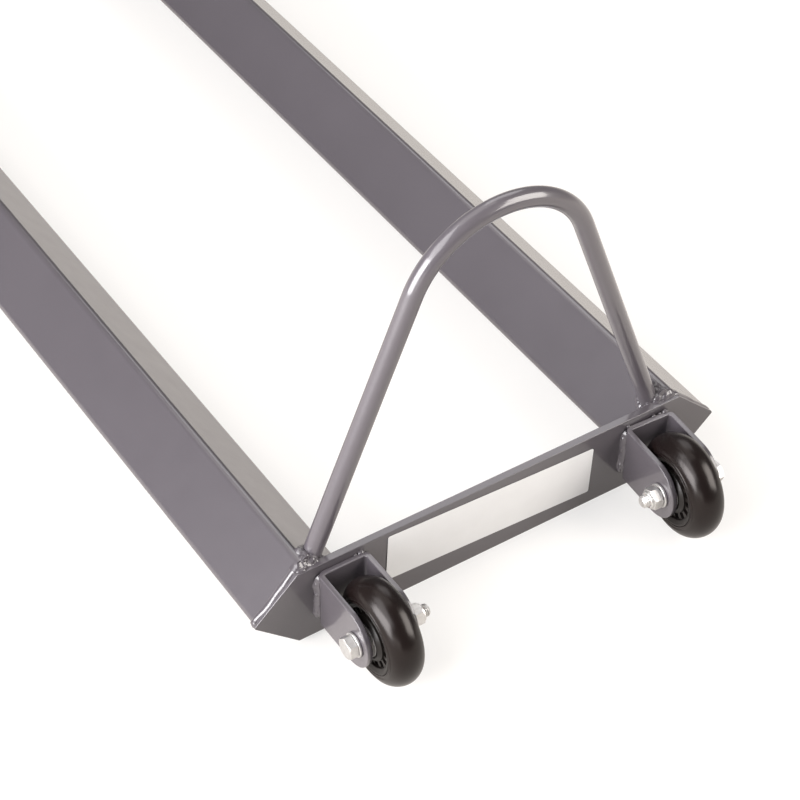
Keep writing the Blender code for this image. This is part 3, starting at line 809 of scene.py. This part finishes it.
def fork_weld(joint, side):
    """Beads at both sides of a fork's back, in the wedge left by its bends, and the tacks on its top edge."""
    bottom, height, flare_place, flare_run = -0.88, 1.80, -0.62, 0.22
    arm_reach, plate_reach, crest, root, root_forward = 0.0042, 0.0021, 0.0014, 0.0016, 0.0006
    matrix = axle_frame(joint)
    half = FORK_HEIGHT / 2
    seed = 41 if side < 0 else 51
    spin = matrix.to_3x3()
    forward = spin @ Vector((0, -1, 0))
    meshes = []
    for number, edge in enumerate((-1, 1)):
        outward = spin @ Vector((edge, 0, 0))
        rows = []
        count = 90
        for index in range(count):
            share = bottom + height * index / (count - 1)
            seam = matrix @ Vector((edge * FORK_OUTER, AXLE_REACH + 0.0002, half * share))
            ragged = wobble((0, 0, seam.z), 120.0, seed + number)
            fine = wobble((0, 0.3, seam.z), 330.0, seed + number)
            flare = exp(-((share - flare_place) / flare_run) ** 2)
            arm_leg = arm_reach * (1 + 0.18 * wobble((0.2, 0, seam.z), 150.0, seed + number))
            plate_leg = plate_reach * (1 + 0.38 * ragged + 0.10 * fine + 0.55 * flare)
            bulge = crest + 0.0004 * fine + 0.0008 * flare
            rows.append([seam + forward * arm_leg - outward * RIM_SINK,
                         seam + forward * arm_leg * 0.50 + outward * bulge,
                         seam + outward * plate_leg - forward * 0.0002,
                         seam - outward * root + forward * root_forward])
        meshes.append(strip_bead(rows, seed + 2 + number, rag=0.30, run_out=20))
        for share, out_by, radius in FORK_SIDE_TACKS:
            drift = 0.0005 * wobble((share, 0, edge), 3.0, seed)
            place = Vector((edge * (FORK_OUTER + out_by * 0.6 + drift), AXLE_REACH - 0.0012, half * share))
            meshes.append(blob(matrix @ place, (radius, radius * 1.1, radius * 1.5), seed + 4))
    for x, radius in FORK_TOP_TACKS[:2 if side < 0 else 4]:
        place = Vector((x, AXLE_REACH - 0.0002, half + 0.0001))
        meshes.append(blob(matrix @ place, (radius * 1.3, radius, radius * 0.9), seed + 9))
    return meshes


def above_floor(mesh):
    """Flatten what would reach under the tubes' lowest line."""
    for vert in mesh.vertices:
        vert.co.z = max(vert.co.z, FLOOR_CLEARANCE)
    return mesh


def build_welds():
    for end in ENDS:
        for side, word in SIDES:
            mesh = above_floor(melted(joined(rail_welds(end, side)), RAIL_WELD_GRAIN))
            finish_piece(f"weld_rail_{end}_{word}", mesh, WELD_PAINT)
            mesh = melted(joined(hoop_foot_weld(end, side)), HOOP_WELD_GRAIN)
            finish_piece(f"weld_hoop_{end}_{word}", mesh, WELD_PAINT)
    for side, word in SIDES:
        mesh = melted(joined(fork_weld(f"wheel_{word}_spin", side)), FORK_WELD_GRAIN)
        finish_piece(f"weld_fork_{word}", mesh, WELD_PAINT)


# Forks

def axle_frame(joint_name):
    """Matrix of an axle: x along the hinge, y towards the end plate, z up."""
    joint = next(joint for joint in frame["joints"] if joint["name"] == joint_name)
    x = Vector(joint["axis"]).normalized()
    z = Vector((0, 0, 1))
    return axes_matrix(x, z.cross(x).normalized(), z, Vector(joint["pos_m"]))


def fork_centre_line(straight_steps=8, bend_steps=12):
    """Plan of the bent strip's middle: points with normals, from the left arm's end to the right one's."""
    middle = FORK_INSIDE / 2 + FORK_STRIP / 2
    bend = FORK_BEND_RADIUS + FORK_STRIP / 2
    back = AXLE_REACH - FORK_STRIP / 2
    tip_centre = AXLE_REACH - FORK_REACH + FORK_HEIGHT / 2
    left = []
    for step in range(straight_steps):
        left.append(((-middle, tip_centre + (back - bend - tip_centre) * step / straight_steps), (-1.0, 0.0)))
    for step in range(bend_steps + 1):
        angle = pi - pi / 2 * step / bend_steps
        normal = (cos(angle), sin(angle))
        left.append(((-middle + bend + bend * normal[0], back - bend + bend * normal[1]), normal))
    between = [((-middle + bend + (2 * middle - 2 * bend) * step / straight_steps, back), (0.0, 1.0))
               for step in range(1, straight_steps)]
    right = [((-x, y), (-nx, ny)) for (x, y), (nx, ny) in reversed(left)]
    return left + between + right


def build_fork(name, joint):
    """A flat strip with round ends, bent to a U round the wheel and bored for the axle."""
    edge, edge_margin, bore_margin = FORK_EDGE_RADIUS, 0.0004, 0.004
    corner_steps, end_steps = 4, 28
    half = FORK_STRIP / 2
    radius = FORK_HEIGHT / 2
    section = []
    for step in range(corner_steps + 1):
        angle = pi / 2 * step / corner_steps
        section.append((radius - edge + edge * cos(angle), half - edge + edge * sin(angle)))
    # (distance from the strip's middle height, offset from its middle plane), from outside over the top
    flat = radius - edge - edge_margin
    upper = [(0.0, half), (flat, half)] + section[::-1]
    upper += [(rho, -tau) for rho, tau in section] + [(flat, -half), (0.0, -half)]
    lower = upper[::-1][1:-1]
    # each station is a place on the centre line and how far its section is turned into the round end
    line = fork_centre_line()
    stations = [(line[0], pi / 2 * (1 - step / end_steps)) for step in range(end_steps + 1)]
    stations += [(place, 0.0) for place in line[1:-1]]
    stations += [(line[-1], pi / 2 * step / end_steps) for step in range(end_steps + 1)]
    verts = []
    for ((x, y), (nx, ny)), angle in stations:
        for sign, profile in ((1, upper), (-1, lower)):
            for rho, tau in profile:
                verts.append((x + nx * tau, y - rho * sin(angle) + ny * tau,
                              sign * rho * cos(angle)))
    mesh = mesh_from(verts, grid_faces(len(stations), len(upper) + len(lower)), merge=2e-7)
    reach, bore = FORK_OUTER + bore_margin, BOLT_RADIUS + GAP
    mesh = minus(mesh, lathe([(0.0, reach), (bore, reach), (bore, -reach), (0.0, -reach)], 48))
    # the strip's paint is lightened as painted light
    finish_piece(name + "_strip", placed(mesh, axle_frame(joint)), STRIP_PAINT_WITH_PAINTED_LIGHT, [name])


# Wheels

TYRE_SHOULDER = 0.0237

# Rings cut into a tyre's sides: radius, depth and half width; their opposite signs leave a crest between them
TYRE_GROOVES = ((0.0254, 0.00035, 0.00022), (0.0246, -0.00022, 0.00030))

RING_EDGE_RADIUS = 0.0003
WASHER_EDGE_RADIUS = 0.0004
HEX_CROWN_SHARE = 0.97
HEX_CROWN_SLOPE = tan(radians(30))
THREAD_DEPTH = 0.00062
THREAD_CHAMFER = 0.0010
HEX_TURN = {"left": radians(12), "right": radians(22)}
NUT_TURN = {"left": radians(20), "right": radians(5)}


def tyre_profile(steps=72, lip=0.0004):
    """Outline of a tyre: a round tread, rings in its sides and a straight bore on the core's rim."""
    inner = CORE_RIM_RADIUS + GAP * 0.3
    profile = []
    for step in range(steps + 1):
        angle = pi * step / steps
        radius = TYRE_SHOULDER + (WHEEL_RADIUS - TYRE_SHOULDER) * sin(angle)
        height = TYRE_HALF_WIDTH * cos(angle)
        groove = sum(depth * exp(-((radius - place) / width) ** 2)
                     for place, depth, width in TYRE_GROOVES)
        profile.append((radius, height - copysign(groove, height)))
    return profile + [(inner + lip, -TYRE_HALF_WIDTH), (inner, -TYRE_HALF_WIDTH + lip),
                      (inner, TYRE_HALF_WIDTH - lip), (inner + lip, TYRE_HALF_WIDTH)]


def core_mesh(window_turn):
    """Hub with bearing seats, a ring of ribs set back in a groove, and a sloping face out to the rim."""
    edge, rim_round, slope_round, window_round = 0.0003, 0.0012, 0.0006, 0.0007
    slope_foot, groove_margin, barrel_wall, cut_reach = WINDOW_OUTER + 0.0004, 0.0001, 0.0012, 0.0125
    groove_outer, groove_inner = WINDOW_OUTER + groove_margin, WINDOW_INNER - groove_margin
    bore = BEARING_RADIUS + GAP
    seat = BEARING_SPACING / 2 - GAP
    web = CORE_WEB_HALF
    rib = web - CORE_RIB_DEPTH
    side = [(CORE_RIM_RADIUS - CORE_RIM_WALL, TYRE_HALF_WIDTH, rim_round), (slope_foot, web, slope_round),
            (groove_outer, rib, 0), (groove_inner, rib, 0), (groove_inner, web, edge),
            (bore + barrel_wall, BARREL_HALF, edge), (bore, BARREL_HALF, edge),
            (bore, seat, 0), (bore - RING_WALL, seat, 0)]
    other = [(radius, -height, round_off) for radius, height, round_off in side]
    rim = [(CORE_RIM_RADIUS, TYRE_HALF_WIDTH, edge), (CORE_RIM_RADIUS, -TYRE_HALF_WIDTH, edge)]
    mesh = lathe(rounded_outline(rim + other + side[::-1], 4), 144)
    middle = (WINDOW_INNER + WINDOW_OUTER) / 2
    width = 2 * pi * middle / WINDOW_COUNT * WINDOW_SHARE
    window = rounded_rectangle((WINDOW_OUTER - WINDOW_INNER) / 2, width / 2, window_round, 4)
    cutters = []
    for index in range(WINDOW_COUNT):
        angle = window_turn + 2 * pi * index / WINDOW_COUNT
        verts = []
        for depth in (-cut_reach, cut_reach):
            for x, y in window:
                radial = middle + x
                verts.append((depth, radial * cos(angle) - y * sin(angle),
                              radial * sin(angle) + y * cos(angle)))
        cutters.append(mesh_from(verts, tube_faces(2, len(window))))
    return minus(mesh, joined(cutters))


def ring_mesh(inner, outer, low, high, edge=RING_EDGE_RADIUS, steps=72):
    corners = [(outer, high, edge), (outer, low, edge), (inner, low, edge), (inner, high, edge)]
    return lathe(rounded_outline(corners, 3), steps)


def outer_race_mesh(low, high):
    """Outer ring with its pressed dust shields, as one turned shape."""
    face, dish, sheet, ramp = 0.0004, 0.0003, 0.0005, 0.0009
    fine, race_round, ramp_round = 0.0001, 0.00015, 0.0002
    track = BEARING_RADIUS - RING_WALL
    lip = BOLT_RADIUS + GAP + RING_WALL + GAP
    # (radius, depth under the ring's side, rounding), from the ring's corner to behind the shield
    side = [(BEARING_RADIUS, 0, RING_EDGE_RADIUS), (track, 0, race_round), (track, face, fine),
            (lip + ramp, face, ramp_round), (lip + ramp * 0.6, face + dish, fine), (lip, face + dish, fine),
            (lip, face + dish + sheet, fine), (track, face + dish + sheet, 0)]
    profile = [(radius, low + depth, round_off) for radius, depth, round_off in side]
    profile += [(radius, high - depth, round_off) for radius, depth, round_off in reversed(side)]
    return lathe(rounded_outline(profile, 3), 96)


def hexagon_mesh(low, high, inner, cone_low, cone_high, turn):
    """Hexagon prism with a round bore and its corners taken off by 30 degree cones at the chosen ends."""
    steps, rings = 96, 3
    flat = HEX_FLATS / 2
    crown = flat * HEX_CROWN_SHARE
    verts = []
    for step in range(steps):
        angle = 2 * pi * step / steps
        reach = flat / cos((angle + pi / 6) % (pi / 3) - pi / 6)
        radii = [inner + (crown - inner) * ring / rings for ring in range(rings + 1)]
        radii += [crown + (reach - crown) * ring / rings for ring in range(1, rings + 1)]
        for face, inwards, cone, rows in ((high, -1, cone_high, radii), (low, 1, cone_low, radii[::-1])):
            for radius in rows:
                drop = max(0.0, radius - crown) * HEX_CROWN_SLOPE if cone else 0.0
                verts.append(turned_point(radius, face + inwards * drop, angle + turn))
    return mesh_from(verts, grid_faces(steps, len(verts) // steps, wrap_rows=True), merge=1e-7)


def thread_mesh(low, high):
    """Threaded rod from low to high along X, its low end chamfered."""
    around, rows_per_turn, steepness, root_flat = 64, 14, 1.25, 0.1
    rows = int((high - low) / THREAD_PITCH * rows_per_turn)
    verts = []
    for row in range(rows + 1):
        height = low + (high - low) * row / rows
        for step in range(around):
            phase = (height / THREAD_PITCH - step / around) % 1.0
            tooth = (1 - abs(2 * phase - 1)) * steepness - root_flat
            radius = min(BOLT_RADIUS - THREAD_DEPTH * (1 - min(1.0, max(0.0, tooth))),
                         BOLT_RADIUS - THREAD_CHAMFER + (height - low))
            verts.append(turned_point(radius, height, 2 * pi * step / around))
    return mesh_from(verts, tube_faces(rows + 1, around))


def build_wheel(word, outboard):
    """One wheel with its bearings, and the spacers, washers, bolt and nut that hold it in its fork."""
    turning = f"wheel_{word}"
    # shapes turned about X lie on the axle with their +X pointing outboard
    place = axle_frame(f"wheel_{word}_spin")
    if outboard < 0:
        place = place @ Matrix.Rotation(pi, 4, "Z")
    shifted = place @ Matrix.Translation((-WHEEL_SHIFT, 0, 0))
    bore = BOLT_RADIUS + GAP

    def add(piece, node, mesh, matrix, material=ZINC, body="frame"):
        finish_piece(f"{piece}_{word}", placed(mesh, matrix), material, [f"{node}_{word}"], body)

    add("tyre_tread", "tyre", lathe(tyre_profile(), 160), shifted, TYRE, turning)
    add("wheel_moulding", "wheel_core", core_mesh(WINDOW_TURN[word]), shifted, CORE, turning)
    for end, sign in (("outboard", 1), ("inboard", -1)):
        centre = sign * (BEARING_SPACING + BEARING_WIDTH) / 2
        low, high = centre - BEARING_WIDTH / 2, centre + BEARING_WIDTH / 2
        race = outer_race_mesh(low, high)
        add(f"race_outer_{end}", f"bearing_outer_race_{end}", race, shifted, STEEL, turning)
        race = ring_mesh(bore, bore + RING_WALL, low, high)
        add(f"race_inner_{end}", f"bearing_inner_race_{end}", race, shifted, STEEL, "frame")
        seat = BARREL_HALF - sign * WHEEL_SHIFT
        low, high = sorted((sign * (seat + GAP), sign * (FORK_INSIDE / 2 - GAP)))
        spacer = ring_mesh(bore, bore + SPACER_WALL, low, high)
        add(f"sleeve_{end}", f"side_spacer_{end}", spacer, place)
        inner_face = sign * (FORK_OUTER + GAP)
        low, high = sorted((inner_face, inner_face + sign * WASHER_THICKNESS))
        washer = ring_mesh(bore, WASHER_RADIUS, low, high, WASHER_EDGE_RADIUS)
        add(f"washer_flat_{end}", f"washer_{end}", washer, place)
    high = BEARING_SPACING / 2 - GAP
    add("sleeve_middle", "bearing_spacer", ring_mesh(bore, bore + RING_WALL, -high, high), shifted)
    clamp = FORK_OUTER + WASHER_THICKNESS + 2 * GAP
    add("bolt_hex", "axle_bolt", bolt_mesh(clamp, HEX_TURN[word]), place)
    add("nut_hex", "lock_nut", nut_mesh(clamp, NUT_TURN[word]), place)
    finish_piece(f"nut_insert_{word}", placed(nut_insert_mesh(clamp), place), NYLON)


def bolt_mesh(clamp, turn):
    """Hexagon bolt from its head, outside the fork, to its thread's end behind the nut."""
    end = -(clamp + NUT_HEIGHT + COLLAR_HEIGHT + THREAD_END)
    head = hexagon_mesh(clamp, clamp + HEAD_HEIGHT, 0.0, False, True, turn)
    return joined([head, thread_mesh(end, clamp + HEAD_HEIGHT / 2)])


COLLAR_WALL = 0.0010
COLLAR_ROOT = 0.0016


def nut_mesh(clamp, turn):
    """Lock nut: a hexagon with the thin collar that holds its nylon ring."""
    foot_flare, foot_sink, foot_round, outer_round, inner_round = 0.0004, 0.0002, 0.0003, 0.0009, 0.0002
    top = -(clamp + NUT_HEIGHT)
    end = top - COLLAR_HEIGHT
    inner = COLLAR_RADIUS - COLLAR_WALL
    hexagon = hexagon_mesh(top, -clamp, BOLT_RADIUS + GAP * 0.5, True, True, turn)
    outline = [(COLLAR_RADIUS + foot_flare, top + COLLAR_ROOT, 0),
               (COLLAR_RADIUS, top - foot_sink, foot_round), (COLLAR_RADIUS, end, outer_round),
               (inner, end, inner_round), (inner, top + COLLAR_ROOT, 0)]
    return joined([hexagon, lathe(rounded_outline(outline, 4), 72)])


def nut_insert_mesh(clamp):
    """The nylon ring inside a lock nut's collar."""
    clearance, depth, edge = 0.0001, 0.0004, 0.0002
    top = -(clamp + NUT_HEIGHT)
    low = top - COLLAR_HEIGHT + depth
    return ring_mesh(BOLT_RADIUS + clearance, COLLAR_RADIUS - COLLAR_WALL, low, top, edge)


# Sticker

LABEL_CORNER = 0.0012


def build_label():
    """The blank sticker: a thin sheet with round corners that lies flat on the plate."""
    low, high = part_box("blank_label")
    centre = (low + high) / 2
    outline = rounded_rectangle(LABEL_WIDTH / 2, LABEL_HEIGHT / 2, LABEL_CORNER, 5)
    spin = Matrix.Rotation(LABEL_TURN, 3, "Y")
    verts = []
    for y in (low.y, high.y):
        for x, z in outline:
            turned = spin @ Vector((x, 0, z))
            verts.append((centre.x + turned.x, y, centre.z + turned.z))
    mesh = mesh_from(verts, tube_faces(2, len(outline)))
    finish_piece("sticker_sheet", mesh, LABEL, ["blank_label"])


# Stage, lights and camera

FLOOR_HALF = 14.0
FLOOR_COLOUR = (0.37, 0.355, 0.335)
WHITE = (1.0, 1.0, 1.0)
WARM_WHITE = (1.0, 0.955, 0.91)
COOL_WHITE = (1.0, 0.985, 1.0)

# Glow of the floor for each kind of ray: near the cart, where its shadow falls, and far away
FLOOR_GLOWS = (("Is Camera Ray", 0.60, 1.0, WHITE), ("Is Glossy Ray", 0.36, 0.36, (1.0, 0.94, 0.88)),
               ("Is Transmission Ray", 0.60, 1.0, WHITE))
FLOOR_NEAR, FLOOR_FAR = 0.9, 2.0

# Glow of the world for every ray, and what is added for some
WORLD_LEVEL = 0.05
WORLD_GLOWS = (("Is Camera Ray", 0.95), ("Is Glossy Ray", 0.15), ("Is Transmission Ray", 0.95))

# Softboxes: name, the two ends of the long side, width, watts, colour
LIGHT_TARGET = (0.0, -0.50, 0.05)
LIGHTS = (
    ("bank_left", (-0.83, 0.39, 1.64), (-1.53, -1.37, 1.20), 1.00, 27.0, COOL_WHITE),
    ("side_left", (-2.0, 0.40, 0.75), (-2.0, -1.40, 0.75), 1.30, 95.0, COOL_WHITE),
    ("bank_right", (1.15, -0.90, 1.30), (1.35, -2.30, 0.85), 1.20, 47.0, WARM_WHITE),
    ("front_low", (-1.60, -1.30, 0.30), (-1.10, -2.10, 0.30), 0.50, 3.0, WARM_WHITE),
    ("overhead", (0.0, -0.6, 2.3), (0.0, 1.4, 2.3), 1.60, 12.0, WARM_WHITE),
    ("back_glow", (0.60, 1.20, 1.90), (1.50, 0.50, 1.60), 1.20, 9.0, COOL_WHITE),
)

# The photo's camera: sensor and lens in millimetres, its place, and what is right and down in the picture
SENSOR_WIDTH = 36.0
FOCAL_LENGTH = 105.03
CAMERA_PLACE = (-0.593478, -1.315641, 1.058655)
CAMERA_RIGHT = (0.8373, -0.5468, 0.0063)
CAMERA_DOWN = (-0.3708, -0.5762, -0.7283)


def build_stage():
    """A pale floor that glows white far from the cart and less near it, where a soft shadow shows."""
    size = FLOOR_HALF
    mesh = bpy.data.meshes.new("floor")
    corners = [(-size, -size, 0), (size, -size, 0), (size, size, 0), (-size, size, 0)]
    mesh.from_pydata(corners, [], [(0, 1, 2, 3)])
    floor = put_in_scene("floor", mesh)
    n = Nodes(bpy.data.materials.new("pale_floor"))
    n.tree.nodes.clear()
    place = n.add("ShaderNodeNewGeometry")["Position"]
    distance = n.add("ShaderNodeVectorMath", place, option=("operation", "LENGTH"))["Value"]
    rays = n.add("ShaderNodeLightPath")
    surface = n.add("ShaderNodeBsdfDiffuse", Color=(*FLOOR_COLOUR, 1))[0]
    for ray, near, far, colour in FLOOR_GLOWS:
        level = n.span(distance, near, far, FLOOR_NEAR, FLOOR_FAR)
        share = n.add("ShaderNodeMath", rays[ray], level, option=("operation", "MULTIPLY"))[0]
        glow = n.add("ShaderNodeEmission", Color=(*colour, 1), Strength=share)[0]
        surface = n.add("ShaderNodeAddShader", surface, glow)[0]
    n.add("ShaderNodeOutputMaterial", Surface=surface)
    mesh.materials.append(n.owner)


def build_lights():
    """Softboxes turned to face the near end of the cart, and a world that looks white but lights faintly."""
    for name, end_a, end_b, width, watts, colour in LIGHTS:
        end_a, end_b = Vector(end_a), Vector(end_b)
        centre = (end_a + end_b) / 2
        lamp = bpy.data.lights.new(name, "AREA")
        lamp.shape = "RECTANGLE"
        lamp.size = width
        lamp.size_y = (end_b - end_a).length
        lamp.energy = watts
        lamp.color = colour
        back = (centre - Vector(LIGHT_TARGET)).normalized()
        along = (end_b - end_a).normalized()
        along = (along - back * along.dot(back)).normalized()
        put_in_scene(name, lamp).matrix_world = axes_matrix(along.cross(back), along, back, centre)
    world = bpy.data.worlds.new("studio")
    bpy.context.scene.world = world
    n = Nodes(world)
    n.tree.nodes.clear()
    rays = n.add("ShaderNodeLightPath")
    level = WORLD_LEVEL
    for ray, strength in WORLD_GLOWS:
        level = n.add("ShaderNodeMath", rays[ray], strength, level, option=("operation", "MULTIPLY_ADD"))[0]
    glow = n.add("ShaderNodeBackground", Color=(*WHITE, 1), Strength=level)[0]
    n.add("ShaderNodeOutputWorld", Surface=glow)


def build_camera():
    camera = bpy.data.cameras.new("camera")
    camera.sensor_width = SENSOR_WIDTH
    camera.lens = FOCAL_LENGTH
    camera.clip_start, camera.clip_end = 0.05, 100.0
    right = Vector(CAMERA_RIGHT).normalized()
    down = Vector(CAMERA_DOWN)
    down = (down - right * down.dot(right)).normalized()
    item = put_in_scene("camera", camera)
    item.matrix_world = axes_matrix(right, -down, -right.cross(down), Vector(CAMERA_PLACE))
    bpy.context.scene.camera = item


for side, word in SIDES:
    build_rail(f"rail_{word}", side)
for end in ENDS:
    build_end_plate(f"end_plate_{end}")
for end in ENDS:
    build_hoop(f"hoop_{end}", end)
for _, word in SIDES:
    build_fork(f"fork_{word}", f"wheel_{word}_spin")
build_welds()
for side, word in SIDES:
    build_wheel(word, side)
build_label()
build_stage()
build_lights()
build_camera()

bpy.context.scene.view_settings.view_transform = "Standard"
